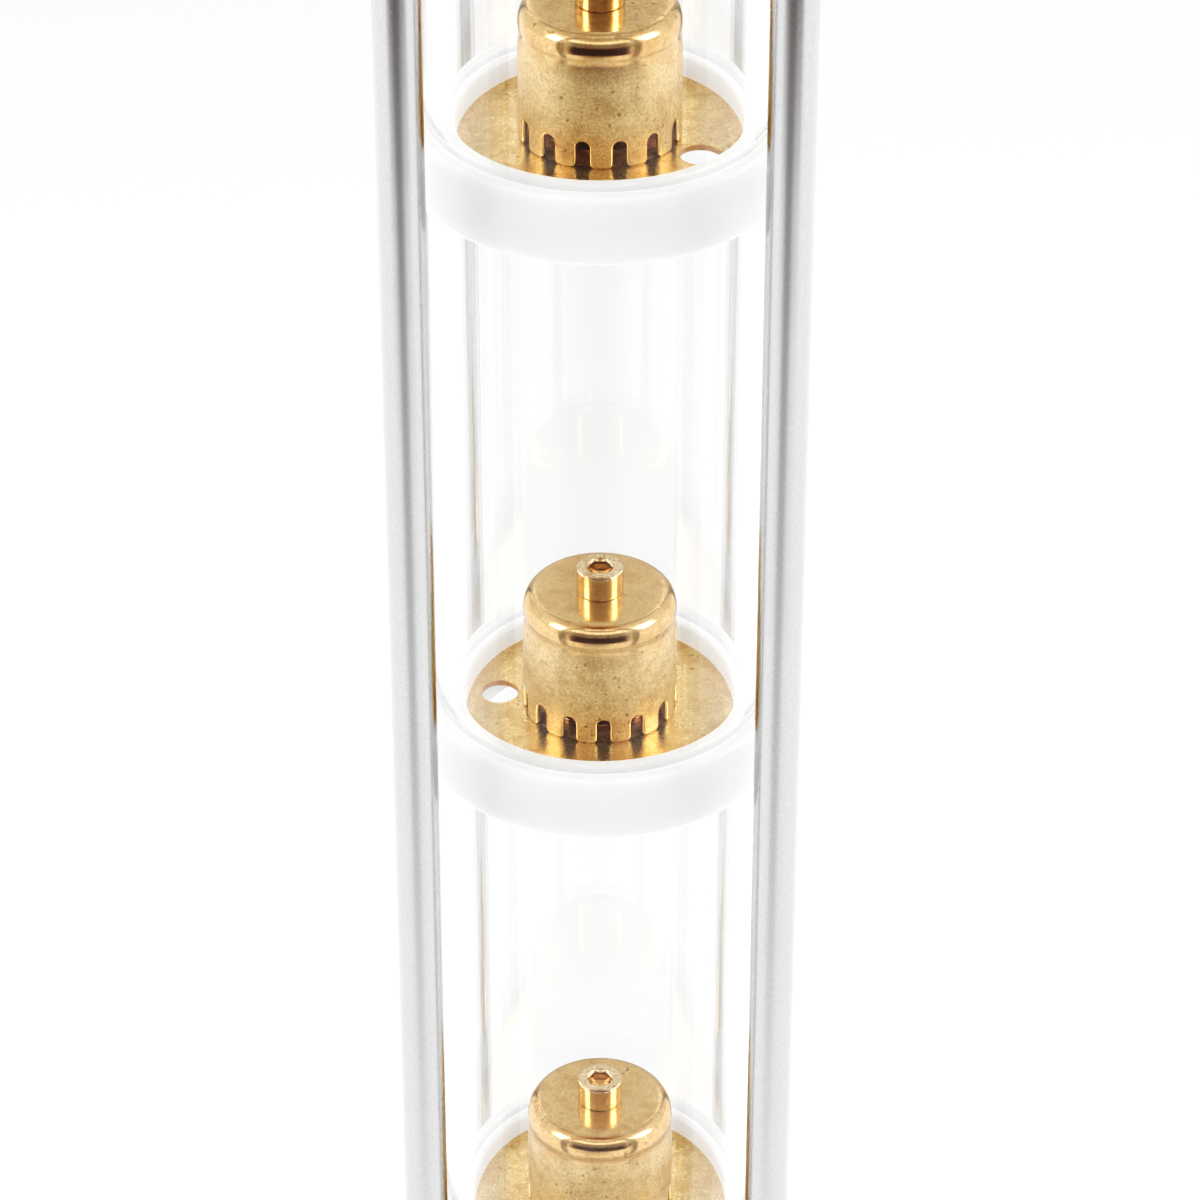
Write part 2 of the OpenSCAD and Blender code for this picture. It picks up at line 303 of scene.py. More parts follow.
class Shader:
    """One material with a Principled shader, and short calls for the nodes behind it."""

    def __init__(self, name):
        self.material = bpy.data.materials.new(name)
        self.material.use_nodes = True
        self.tree = self.material.node_tree
        self.main = self.tree.nodes["Principled BSDF"]
        self.output = self.tree.nodes["Material Output"]
        self.place = self.tree.nodes.new("ShaderNodeTexCoord").outputs["Object"]

    def set(self, socket, value):
        self.main.inputs[socket].default_value = value

    def feed(self, socket, source):
        self.tree.links.new(source, self.main.inputs[socket])

    def attribute(self, name):
        node = self.tree.nodes.new("ShaderNodeAttribute")
        node.attribute_name = name
        return node.outputs["Fac"]

    def stretched(self, scale):
        """Object coordinates in metres, times one scale along each axis."""
        node = self.tree.nodes.new("ShaderNodeMapping")
        node.inputs["Scale"].default_value = scale
        self.tree.links.new(self.place, node.inputs["Vector"])
        return node.outputs["Vector"]

    def turned(self, scale):
        """Rings as off a lathe: distance from the column's axis as X and height as Z, both times scale."""
        apart = self.tree.nodes.new("ShaderNodeSeparateXYZ")
        self.tree.links.new(self.stretched((scale, scale, scale)), apart.inputs[0])
        x, y = apart.outputs["X"], apart.outputs["Y"]
        squares = self.plus(self.times(x, x), self.times(y, y))
        root = self.tree.nodes.new("ShaderNodeMath")
        root.operation = "SQRT"
        self.tree.links.new(squares, root.inputs[0])
        joined = self.tree.nodes.new("ShaderNodeCombineXYZ")
        self.tree.links.new(root.outputs[0], joined.inputs["X"])
        self.tree.links.new(apart.outputs["Z"], joined.inputs["Z"])
        return joined.outputs[0]

    def noise(self, scale, detail=3.0, roughness=0.5):
        """Fractal noise from 0 to 1; scale is cells per metre, as three numbers, or one for turned rings."""
        node = self.tree.nodes.new("ShaderNodeTexNoise")
        node.inputs["Scale"].default_value = 1.0
        node.inputs["Detail"].default_value = detail
        node.inputs["Roughness"].default_value = roughness
        place = self.stretched(scale) if isinstance(scale, tuple) else self.turned(scale)
        self.tree.links.new(place, node.inputs["Vector"])
        return node.outputs["Fac"]

    def ramp(self, source, low, high, to_low=0.0, to_high=1.0):
        """Maps source from low..high to to_low..to_high, clamped and smooth."""
        node = self.tree.nodes.new("ShaderNodeMapRange")
        node.interpolation_type = "SMOOTHSTEP"
        node.inputs["From Min"].default_value = low
        node.inputs["From Max"].default_value = high
        node.inputs["To Min"].default_value = to_low
        node.inputs["To Max"].default_value = to_high
        self.tree.links.new(source, node.inputs["Value"])
        return node.outputs["Result"]

    def times(self, a, b):
        node = self.tree.nodes.new("ShaderNodeMath")
        node.operation = "MULTIPLY"
        for source, socket in ((a, node.inputs[0]), (b, node.inputs[1])):
            if isinstance(source, float):
                socket.default_value = source
            else:
                self.tree.links.new(source, socket)
        return node.outputs[0]

    def plus(self, a, b):
        node = self.tree.nodes.new("ShaderNodeMath")
        node.operation = "ADD"
        self.tree.links.new(a, node.inputs[0])
        self.tree.links.new(b, node.inputs[1])
        return node.outputs[0]

    def blend(self, share, a, b):
        """Colour a where share is 0 and b where it is 1; either may be a colour or a socket."""
        node = self.tree.nodes.new("ShaderNodeMix")
        node.data_type = "RGBA"
        self.tree.links.new(share, node.inputs["Factor"])
        for source, socket in ((a, node.inputs[6]), (b, node.inputs[7])):
            if isinstance(source, tuple):
                socket.default_value = (*source, 1)
            else:
                self.tree.links.new(source, socket)
        return node.outputs[2]

    def bump(self, height, depth, strength=1.0):
        """Raises the surface by height times depth, in metres."""
        node = self.tree.nodes.new("ShaderNodeBump")
        node.inputs["Strength"].default_value = strength
        node.inputs["Distance"].default_value = depth
        self.tree.links.new(height, node.inputs["Height"])
        self.feed("Normal", node.outputs["Normal"])


def glass_material():
    """Clear drawn borosilicate that lets lamps through, with faint draw lines along its length."""
    kit = Shader("clear_borosilicate")
    kit.set("Base Color", (0.952, 0.957, 0.957, 1))
    kit.set("Specular IOR Level", 0.2)
    kit.set("Transmission Weight", 1.0)
    kit.set("IOR", 1.47)
    kit.set("Roughness", 0.0)
    kit.bump(kit.noise((90, 90, 4), detail=2), 0.00002, 0.35)
    lamp_ray = kit.tree.nodes.new("ShaderNodeLightPath").outputs["Is Shadow Ray"]
    clear = kit.tree.nodes.new("ShaderNodeBsdfTransparent")
    clear.inputs["Color"].default_value = (0.95, 0.96, 0.96, 1)
    mix = kit.tree.nodes.new("ShaderNodeMixShader")
    kit.tree.links.new(lamp_ray, mix.inputs[0])
    kit.tree.links.new(kit.main.outputs[0], mix.inputs[1])
    kit.tree.links.new(clear.outputs[0], mix.inputs[2])
    kit.tree.links.new(mix.outputs[0], kit.output.inputs["Surface"])
    return kit.material


def silicone_material():
    """Milky moulded silicone: a painted glow (emission) that stands in for light scattered inside it and
    evenly lifts its shade, a fine matt skin and faint flow clouds.
    """
    kit = Shader("milky_silicone")
    cloud = kit.noise((60, 60, 90), detail=4)
    kit.feed("Base Color", kit.blend(kit.ramp(cloud, 0.35, 0.7), (0.40, 0.40, 0.40), (0.43, 0.43, 0.43)))
    kit.feed("Roughness", kit.ramp(kit.noise((900, 900, 900)), 0.3, 0.7, 0.38, 0.5))
    kit.set("Subsurface Weight", 1.0)
    kit.set("Subsurface Radius", (0.006, 0.006, 0.006))
    kit.set("Subsurface Scale", 1.0)
    kit.set("IOR", 1.41)
    kit.set("Specular IOR Level", 0.25)
    # painted glow: white emission stands in for light scattered inside the silicone, so its shaded parts
    # stay light
    kit.set("Emission Color", (1, 1, 1, 1))
    kit.set("Emission Strength", 0.46)
    kit.bump(kit.noise((1400, 1400, 1400)), 0.00002, 0.5)
    return kit.material


STREAK = (0.62, 0.38, 0.17)
SMUDGE = (0.54, 0.30, 0.12)
GRAIN = (0.54, 0.30, 0.11)
SPECK = (0.24, 0.09, 0.03)
TARNISH_AND_SHADE = (0.66, 0.38, 0.19)
WORN_AND_HIGHLIGHT = (1.0, 0.90, 0.66)


def brass_material(name, satin, streaks, rough, smooth_rough, polished=None, metallic=1.0):
    """Brass with fine grain, smudges, specks and faint lines, which streaks scales along each axis.

    Two values of the mesh steer it. finish_and_sheen is 0 for satin, 1 for polished and 2 for a slot rim,
    worn bare and lightened as a painted highlight: satin and rough are the first one's colour and roughness,
    polished and smooth_rough the second one's, and metallic is for satin alone. tarnish_and_shade runs from
    0 to 1: tarnish and painted shade, a duller, browner colour in hollows and under things."""
    kit = Shader(name)
    finish_and_sheen = kit.attribute("finish_and_sheen")
    tarnish_and_shade = kit.attribute("tarnish_and_shade")
    shine = kit.ramp(finish_and_sheen, 0.0, 1.0)
    grain = kit.noise((2300, 2300, 2300), detail=3, roughness=0.6)
    smudge = kit.ramp(kit.noise((260, 260, 260), detail=6, roughness=0.72), 0.44, 0.66)
    lines = kit.noise(streaks, detail=3)
    dots = kit.ramp(kit.noise((900, 900, 900), detail=2), 0.64, 0.72)
    specks = kit.times(dots, kit.ramp(kit.noise((110, 110, 110)), 0.42, 0.56))
    colour = kit.blend(shine, satin, polished or satin)
    colour = kit.blend(kit.times(kit.ramp(lines, 0.35, 0.65), 0.16), colour, STREAK)
    colour = kit.blend(kit.times(smudge, 0.42), colour, SMUDGE)
    colour = kit.blend(kit.ramp(grain, 0.34, 0.66, 0.0, 0.46), colour, GRAIN)
    colour = kit.blend(kit.times(specks, 0.62), colour, SPECK)
    # tarnish and painted shade: a duller, browner colour in hollows and under things
    colour = kit.blend(tarnish_and_shade, colour, TARNISH_AND_SHADE)
    # slot rims: worn bare brass, lightened further as a painted highlight
    colour = kit.blend(kit.ramp(finish_and_sheen, 1.0, 2.0), colour, WORN_AND_HIGHLIGHT)
    kit.feed("Base Color", colour)
    bare = kit.ramp(finish_and_sheen, 0.0, 1.0, metallic, 1.0)
    # less metallic where tarnished and painted as shaded
    kit.feed("Metallic", kit.times(bare, kit.ramp(tarnish_and_shade, 0.6, 1.0, 1.0, 0.12)))
    base = kit.ramp(finish_and_sheen, 0.0, 1.0, rough, smooth_rough)
    kit.feed("Roughness", kit.plus(base, kit.ramp(smudge, 0.0, 1.0, 0.0, 0.04)))
    kit.bump(kit.plus(kit.times(grain, 0.6), kit.times(lines, 0.4)), 0.000014, 0.6)
    return kit.material


def steel_material(name, colour, roughness, grain, depth):
    """Stainless steel with a fine grain, scaled along each axis or, by one number, in turned rings."""
    kit = Shader(name)
    kit.set("Metallic", 1.0)
    lines = kit.noise(grain, detail=4, roughness=0.65)
    cloud = kit.noise((50, 50, 50), detail=3)
    dark = tuple(c * 0.93 for c in colour)
    kit.feed("Base Color", kit.blend(kit.ramp(lines, 0.35, 0.65), dark, colour))
    kit.feed("Roughness", kit.plus(
        kit.ramp(cloud, 0.3, 0.7, roughness - 0.02, roughness + 0.02),
        kit.ramp(lines, 0.3, 0.7, -0.02, 0.02),
    ))
    kit.bump(lines, depth, 0.5)
    return kit.material


def make_materials():
    return {
        "glass": glass_material(),
        "silicone": silicone_material(),
        "plate": brass_material(
            "rolled_brass", (0.86, 0.665, 0.37), (500, 9, 9), rough=0.34, smooth_rough=0.2, metallic=0.7
        ),
        "cap": brass_material(
            "drawn_brass", (0.98, 0.785, 0.455), (160, 160, 40), rough=0.4, smooth_rough=0.14,
            polished=(0.80, 0.585, 0.32), metallic=0.7
        ),
        "screw": brass_material(
            "turned_brass", (0.96, 0.82, 0.58), (60, 60, 3000), rough=0.2, smooth_rough=0.17
        ),
        "riser": brass_material(
            "riser_brass", (0.84, 0.60, 0.34), (60, 60, 1500), rough=0.2, smooth_rough=0.16
        ),
        "rod": steel_material("ground_steel", (0.56, 0.56, 0.56), 0.24, (3000, 3000, 1500), 0.0000015),
        "flange": steel_material("turned_steel", (0.58, 0.58, 0.59), 0.26, 1700, 0.000005),
        "ferrule": steel_material("polished_steel", (0.64, 0.64, 0.65), 0.15, 2300, 0.000002),
        "fastener": steel_material("fastener_steel", (0.57, 0.57, 0.58), 0.24, (900, 900, 900), 0.000005),
    }


# ---- mesh helpers ----


def rounded(corners):
    """A closed outline from (radius, height, cut) corners, each rounded from cut before to cut after it."""
    outline = []
    befores, afters = corners[-1:] + corners[:-1], corners[1:] + corners[:1]
    for before, (x, z, cut), after in zip(befores, corners, afters):
        corner = Vector((x, z))
        if cut == 0:
            outline.append((x, z))
            continue
        start = corner + (Vector(before[:2]) - corner).normalized() * cut
        end = corner + (Vector(after[:2]) - corner).normalized() * cut
        for k in range(ROUND_STEPS + 1):
            t = k / ROUND_STEPS
            outline.append(tuple(start * (1 - t) ** 2 + corner * 2 * t * (1 - t) + end * t * t))
    return outline


def hexagon(across):
    """Radius of a hexagon, by angle, from its size across the flats; one corner is at angle 0."""
    sixth = math.pi / 3
    return lambda angle: across / 2 / math.cos(angle % sixth - sixth / 2)


def worth(value, angle):
    """A number as it is, or a function's value at the angle."""
    return value(angle) if callable(value) else value


def around(base, radius, angle, height):
    """The point at a radius and height in millimetres round a base in metres."""
    r = radius * MM
    return base[0] + r * math.cos(angle), base[1] + r * math.sin(angle), base[2] + height * MM


def turn(bm, rings, base=(0, 0, 0), steps=96, closed=True, flip=False):
    """Joins rings of (radius, height) about a vertical axis; either may be a function of the angle."""
    sign = -1 if flip else 1
    columns = []
    for k in range(steps):
        angle = 2 * math.pi * k / steps
        columns.append([
            bm.verts.new(around(base, worth(radius, angle), angle, worth(height, angle) * sign))
            for radius, height in rings
        ])
    last = len(rings) if closed else len(rings) - 1
    for k in range(steps):
        here, there = columns[k], columns[(k + 1) % steps]
        for i in range(last):
            j = (i + 1) % len(rings)
            bm.faces.new((here[i], there[i], there[j], here[j]))


def thread(bm, base, low, high, radius, pitch, depth, steps=48):
    """The side of a threaded bar between two heights; it runs out to the full radius at both."""
    per_turn = 6
    rise = (0, 0.45, 0.9, 1, 0.55, 0.1)
    rows = math.ceil((high - low) / pitch * per_turn) + per_turn
    grid = []
    for k in range(steps + 1):
        angle = 2 * math.pi * k / steps
        column = []
        for i in range(rows + 1):
            z = low + (i / per_turn - k / steps) * pitch
            z = min(max(z, low), high)
            fade = min((z - low) / pitch, (high - z) / pitch, 1)
            r = radius - depth * rise[i % per_turn] * fade
            column.append(bm.verts.new(around(base, r, angle, z)))
        grid.append(column)
    for here, there in zip(grid, grid[1:]):
        for i in range(rows):
            bm.faces.new((here[i], there[i], there[i + 1], here[i + 1]))


def hex_nut(bm, base, across, height, bore, flip=False):
    """A nut with turned corners and a countersunk bore; base is the centre of its lower face."""
    side = hexagon(across)
    flat = across / 2 - 0.15

    def turned_off(angle):
        return (side(angle) - flat) * math.tan(math.radians(30))

    sink = 0.4
    top = height - FACE_GAP
    turn(
        bm,
        [
            (bore + sink, FACE_GAP), (flat, FACE_GAP), (side, turned_off),
            (side, lambda a: height - turned_off(a)), (flat, top), (bore + sink, top),
            (bore, height - sink), (bore, sink),
        ],
        base,
        steps=72,
        flip=flip,
    )


def mesh_from(bm, name):
    """A clean mesh from a bmesh: near points joined, collapsed faces gone, faces turned outwards."""
    bmesh.ops.remove_doubles(bm, verts=bm.verts, dist=1e-6)
    bmesh.ops.dissolve_degenerate(bm, edges=bm.edges, dist=1e-7)
    bmesh.ops.recalc_face_normals(bm, faces=bm.faces)
    mesh = bpy.data.meshes.new(name)
    bm.to_mesh(mesh)
    bm.free()
    return mesh


def carve(mesh, tool):
    """Cuts the closed mesh tool away from mesh."""
    blank = bpy.data.objects.new("blank", mesh)
    cutter = bpy.data.objects.new("cutter", tool)
    for made in (blank, cutter):
        bpy.context.scene.collection.objects.link(made)
    cut = blank.modifiers.new("cut", "BOOLEAN")
    cut.object = cutter
    cut.operation = "DIFFERENCE"
    cut.solver = "EXACT"
    graph = bpy.context.evaluated_depsgraph_get()
    result = bpy.data.meshes.new_from_object(blank.evaluated_get(graph))
    for made in (blank, cutter):
        bpy.data.objects.remove(made)
    return result


def wear(mesh, state):
    """Stores finish_and_sheen and tarnish_and_shade for each point, for the brass material; state(point)
    gives both.
    """
    states = [state(vertex.co) for vertex in mesh.vertices]
    for name, values in zip(("finish_and_sheen", "tarnish_and_shade"), zip(*states)):
        mesh.attributes.new(name, "FLOAT", "POINT").data.foreach_set("value", values)
    return mesh


def piece(mesh, name, body, material, slot, *nodes, sharp=32, bevel=0.0):
    """Shows the mesh as a piece that rides a body and stands for CAD nodes. Edges over sharp degrees stay
    sharp, or are worn by bevel."""
    mesh.shade_smooth()
    mesh.set_sharp_from_angle(angle=math.radians(sharp))
    made = bpy.data.objects.new(name, mesh)
    bpy.context.scene.collection.objects.link(made)
    mesh.materials.clear()
    mesh.materials.append(material)
    if bevel:
        worn = made.modifiers.new("worn_edges", "BEVEL")
        worn.width = bevel * MM
        worn.segments = 2
        worn.limit_method = "ANGLE"
        worn.angle_limit = math.radians(sharp)
        worn.harden_normals = True
    else:
        made.modifiers.new("flat_faces", "WEIGHTED_NORMAL").keep_sharp = True
    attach(made, body)
    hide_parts(*nodes)


def shape(draw):
    """Runs draw(bm) on an empty bmesh and returns it."""
    bm = bmesh.new()
    draw(bm)
    return bm


# ---- glass, seals and gaskets ----


def make_glass():
    melt = 1.1
    outline = rounded([
        (GLASS_IN, 0, melt), (GLASS_OUT, 0, melt),
        (GLASS_OUT, GLASS_LENGTH, melt), (GLASS_IN, GLASS_LENGTH, melt),
    ])
    for n in SECTIONS:
        node = f"glass_tube_{n}"
        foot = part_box(node)[0].z
        mesh = mesh_from(shape(lambda bm: turn(bm, outline, (0, 0, foot), steps=160)), node)
        piece(mesh, f"glass_section_{n}", "column", LOOKS["glass"], "glass", node)


def make_seals():
    """Rings with a groove for the glass below and above, and a slot inside for the plate."""
    inner, outer, low, high = GROOVE_IN, GROOVE_OUT, -GLASS_SINK, 7 + GLASS_SINK
    foot, brim = -3, 10
    slot_r, slot_top, slot_foot = PLATE_R + 0.05, 6, 4.8
    outline = rounded([
        (SEAL_BORE, foot, 0.5), (inner, foot, 0.4), (inner, low, 0), (outer, low, 0), (outer, foot, 0.4),
        (SEAL_R, foot, 0.9), (SEAL_R, brim, 0.9), (outer, brim, 0.4), (outer, high, 0),
        (inner, high, 0), (inner, brim, 0.4), (SEAL_BORE, brim, 0.5),
        (SEAL_BORE, slot_top, 0.2), (slot_r, slot_top, 0),
        (slot_r, slot_foot, 0), (SEAL_BORE, slot_foot, 0.2),
    ])
    for n in PLATES:
        node = f"plate_seal_{n}"
        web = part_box(node)[0].z - foot * MM
        mesh = mesh_from(shape(lambda bm: turn(bm, outline, (0, 0, web), steps=144)), node)
        piece(mesh, f"silicone_seal_{n}", "column", LOOKS["silicone"], "silicone", node)


def make_gaskets():
    """End rings with one groove for the glass; the top one is upside down."""
    floor, inner_lip, outer_lip = 3.5 + GLASS_SINK, 6.5, 8.5
    outline = rounded([
        (SEAL_BORE, 0, 0.2), (SEAL_R, 0, 0.2), (SEAL_R, outer_lip, 0.9), (GROOVE_OUT, outer_lip, 0.4),
        (GROOVE_OUT, floor, 0), (GROOVE_IN, floor, 0),
        (GROOVE_IN, inner_lip, 0.4), (SEAL_BORE, inner_lip, 0.5),
    ])
    for end in ENDS:
        node = f"{end}_gasket"
        low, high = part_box(node)
        base = (0, 0, high.z if end == "top" else low.z)
        mesh = mesh_from(shape(lambda bm: turn(bm, outline, base, steps=144, flip=end == "top")), node)
        piece(mesh, f"silicone_{node}", "column", LOOKS["silicone"], "silicone", node)


# ---- plates and risers ----


def make_plates():
    """Discs drilled for a riser and a downcomer, darkened under the cap and on the drilled walls with
    tarnish and painted shade.
    """
    shade, wide = 13.2, HOLE_R + 0.12
    disc = rounded([
        (PLATE_BORE, -PLATE_H, 0.15), (shade - 0.2, -PLATE_H, 0), (shade + 0.2, -PLATE_H, 0),
        (PLATE_R, -PLATE_H, 0.2), (PLATE_R, 0, 0.2),
        (shade + 0.2, 0, 0), (shade - 0.2, 0, 0), (PLATE_BORE, 0, 0.15),
    ])
    drill = [(0, -2.2), (wide, -2.2), (wide, -PLATE_H), (HOLE_R, -1.05), (HOLE_R, -0.6), (HOLE_R, -0.1)]
    drill += [(wide, 0), (wide, 1), (0, 1)]
    for n, bearing in zip(PLATES, DOWNCOMER_DEG):
        node = f"bubble_plate_{n}"
        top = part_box(node)[1].z
        mesh = mesh_from(shape(lambda bm: turn(bm, disc, (0, 0, top), steps=160)), node)
        hole = around((0, 0, top), HOLE_REACH, math.radians(bearing), 0)
        tool = mesh_from(shape(lambda bm: turn(bm, drill, hole, steps=64, closed=False)), "tool")
        centre = Vector(hole)

        def state(point):
            drilled = (HOLE_R - 0.1) * MM < (point - centre).xy.length < (HOLE_R + 0.05) * MM
            covered = point.xy.length < shade * MM
            # under the cap and on the drilled walls: tarnish and painted shade
            return 0.5, float(drilled or covered)

        mesh = wear(carve(mesh, tool), state)
        piece(mesh, f"brass_plate_{n}", "column", LOOKS["plate"], "plate_brass", node)


def make_risers():
    """Tubes with a collar that rests on the plate, each with the lock nut that holds it from below."""
    foot, top, collar_r, collar_h = -5.8, 15, 10, 1.5
    nut_across, nut_h = 20, 3
    outline = rounded([
        (RISER_BORE, foot, 0.2), (RISER_R, foot, 0.2), (RISER_R, 0, 0), (collar_r, 0, 0.2),
        (collar_r, collar_h, 0.3), (RISER_R, collar_h, 0.2), (RISER_R, top, 0.3), (RISER_BORE, top, 0.3),
    ])
    for n in PLATES:
        base = (0, 0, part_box(f"bubble_plate_{n}")[1].z)
        mesh = mesh_from(shape(lambda bm: turn(bm, outline, base)), "riser")
        # the riser, under the cap: tarnish and painted shade
        mesh = wear(mesh, lambda point: (0.5, 0.75))
        piece(mesh, f"vapour_riser_{n}", "column", LOOKS["riser"], "riser_brass", f"riser_{n}")
        base = (0, 0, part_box(f"riser_nut_{n}")[0].z)
        mesh = mesh_from(shape(lambda bm: hex_nut(bm, base, nut_across, nut_h, PLATE_BORE)), "nut")
        # the lock nut under the plate: a little tarnish and painted shade
        mesh = wear(mesh, lambda point: (0.5, 0.2))
        piece(mesh, f"lock_nut_{n}", "column", LOOKS["riser"], "riser_brass", f"riser_nut_{n}", bevel=0.12)


# ---- bubble caps ----


def rim_path(inset):
    """Half a slot and half a tooth, from the slot's crown to the tooth's middle, moved into the brass by
    inset. Returns the crown, the side and the foot as lists of (distance along the skirt, height)."""
    reach = SLOT_W / 2 + inset
    spring = SLOT_H - SLOT_W / 2
    round_r = TOOTH_ROUND - inset
    centre = (SLOT_W / 2 + TOOTH_ROUND, TOOTH_ROUND)
    quarter = [k / CROWN_STEPS * math.pi / 2 for k in range(CROWN_STEPS + 1)]
    crown = [(reach * math.sin(a), spring + reach * math.cos(a)) for a in quarter]
    side = [(reach, spring + (TOOTH_ROUND - spring) * k / 4) for k in range(5)]
    foot = []
    for k in range(1, 7):
        angle = math.radians(180 + 15 * k)
        point = (centre[0] + round_r * math.cos(angle), centre[1] + round_r * math.sin(angle))
        (side if k <= 3 else foot).append(point)
    foot.insert(0, side[-1])
    foot += [(foot[-1][0] + (TOOTH_MIDDLE - foot[-1][0]) * k / 3, inset) for k in range(1, 4)]
    return crown, side, foot


def coons(left, right, bottom, top):
    """A grid between four sides: left and right run downwards, and bottom and top from left to right."""
    rows, columns = len(left) - 1, len(top) - 1
    grid = []
    for j in range(rows + 1):
        t = j / rows
        row = []
        for m in range(columns + 1):
            s = m / columns
            point = Vector(left[j]) * (1 - s) + Vector(right[j]) * s
            point += Vector(top[m]) * (1 - t) + Vector(bottom[m]) * t
            point -= Vector(top[0]) * (1 - s) * (1 - t) + Vector(top[-1]) * s * (1 - t)
            point -= Vector(bottom[0]) * (1 - s) * t + Vector(bottom[-1]) * s * t
            row.append(point)
        grid.append(row)
    return grid


def skirt_face(inset):
    """The flat pattern of half a slot and half a tooth up to the skirt's plain part, as two grids."""
    crown, side, foot = rim_path(inset)
    middle = TOOTH_MIDDLE
    spring = SLOT_H - SLOT_W / 2
    right = [(middle, spring + (inset - spring) * j / (len(side) - 1)) for j in range(len(side))]
    across = [(side[0][0] + (middle - side[0][0]) * m / (len(foot) - 1), spring) for m in range(len(foot))]
    tooth = coons(side, right, foot, across)
    half = CROWN_STEPS // 2
    outer = [(middle * k / half, SKIRT_TOP) for k in range(half + 1)]
    outer += [(middle, SKIRT_TOP + (spring - SKIRT_TOP) * k / half) for k in range(1, half + 1)]
    fan = [
        [Vector(a) + (Vector(b) - Vector(a)) * m / (len(foot) - 1) for m in range(len(foot))]
        for a, b in zip(crown, outer)
    ]
    return tooth, fan


def wrap(bm, grid, base, bearing, mirror, radius):
    """Puts a flat grid on the cap's wall; radius is one number, or one for each row."""
    rows = []
    for j, row in enumerate(grid):
        r = radius[j] if isinstance(radius, list) else radius
        rows.append([
            bm.verts.new(around(base, r, bearing + mirror * along / CAP_R, height)) for along, height in row
        ])
    for here, there in zip(rows, rows[1:]):
        for i in range(len(here) - 1):
            bm.faces.new((here[i], here[i + 1], there[i + 1], there[i]))


def wall_radius(z):
    """The cap's outer radius at a height: straight, in to a faint neck, out again and over to the edge."""
    neck = 0.265 * smooth(15.5, 19.3, z) - 0.21 * smooth(19.3, 21.0, z)
    return CAP_R - neck - 0.107 * max(z - 21.1, 0) ** 2


def cap_edge(bend):
    """The arc of radius bend between the cap's wall, which slopes by EDGE_SLOPE_DEG there, and its top."""
    turns = [math.radians(EDGE_SLOPE_DEG + (90 - EDGE_SLOPE_DEG) * k / 8) for k in range(9)]
    return [(EDGE_AT + bend * math.cos(a), CAP_H - EDGE_BEND + bend * math.sin(a)) for a in turns]


def cap_skirt(bm, base, first_bearing):
    """The slotted wall, outside and inside, and the cut edges that roll over from one to the other."""
    rolls = []
    for k in range(5):
        angle = math.pi / 2 * k / 4
        rolls.append((EDGE_ROLL * (1 - math.sin(angle)), CAP_R - EDGE_ROLL * (1 - math.cos(angle))))
    rolls += [(inset, CAP_R + CAP_IN - radius) for inset, radius in reversed(rolls)]
    radii = [radius for inset, radius in rolls]
    band = []
    for inset, radius in rolls:
        crown, side, foot = rim_path(inset)
        band.append(crown + side[1:] + foot[1:])
    face = skirt_face(EDGE_ROLL)
    for k in range(SLOT_COUNT):
        bearing = math.radians(first_bearing + 360 / SLOT_COUNT * k)
        for mirror in (-1, 1):
            for radius in (CAP_R, CAP_IN):
                for grid in face:
                    wrap(bm, grid, base, bearing, mirror, radius)
            wrap(bm, band, base, bearing, mirror, radii)


def cap_dome(bm, base, first_bearing):
    """All above the slots: up the wall, over the edge to the screw's hole, and back down inside."""
    heights = [SKIRT_TOP, 11, 14.5] + [15.5 + 0.4 * k for k in range(17)]
    hole = SCREW_R + 0.25
    profile = [(wall_radius(z), z) for z in heights] + cap_edge(EDGE_BEND) + [(8, CAP_H)]
    profile += [(hole + 0.2, CAP_H), (hole + 0.03, CAP_H - 0.08), (hole, CAP_H - 0.2)]
    profile.append((hole, CAP_H - CAP_WALL))
    profile += cap_edge(EDGE_BEND - CAP_WALL)[::-1]
    profile += [(wall_radius(z) - CAP_WALL, z) for z in reversed(heights)]
    columns = []
    steps = SLOT_COUNT * CROWN_STEPS
    for k in range(steps):
        angle = math.radians(first_bearing) + 2 * math.pi * k / steps
        columns.append([bm.verts.new(around(base, r, angle, z)) for r, z in profile])
    for k in range(steps):
        here, there = columns[k], columns[(k + 1) % steps]
        for i in range(len(here) - 1):
            bm.faces.new((here[i], there[i], there[i + 1], here[i + 1]))


def cap_mesh(base, first_bearing):
    """A drawn cap: satin below a faint neck, polished above it, with rims worn bare and lightened as a
    painted highlight, tarnished and darkened as painted shade inside, and a faint painted dark band round
    the neck.
    """
    bm = bmesh.new()
    cap_skirt(bm, base, first_bearing)
    cap_dome(bm, base, first_bearing)

    def state(point):
        z, r = (point.z - base[2]) / MM, point.xy.length / MM
        near = 0.01
        # cut rims: worn bare, with a painted highlight
        if z < SKIRT_TOP and CAP_IN + near < r < CAP_R - near:
            return 2.0, 0.0
        # inside the cap: tarnish and painted shade
        if r < CAP_IN + near and z < CAP_H - CAP_WALL + near:
            return 0.0, 1.0
        # a faint darker, browner band round the neck: painted reflection that deepens the dark band under
        # the edge
        return smooth(17.2, 20.6, z), 0.2 * smooth(16, 18.5, z) * (1 - smooth(21.6, 22.6, z))

    return wear(mesh_from(bm, "cap"), state)


def make_caps():
    for n, bearing in zip(PLATES, SLOT_DEG):
        node = f"bubble_cap_{n}"
        base = (0, 0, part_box(node)[0].z)
        piece(cap_mesh(base, bearing), f"drawn_cap_{n}", f"cap_{n}", LOOKS["cap"], "cap_brass", node)


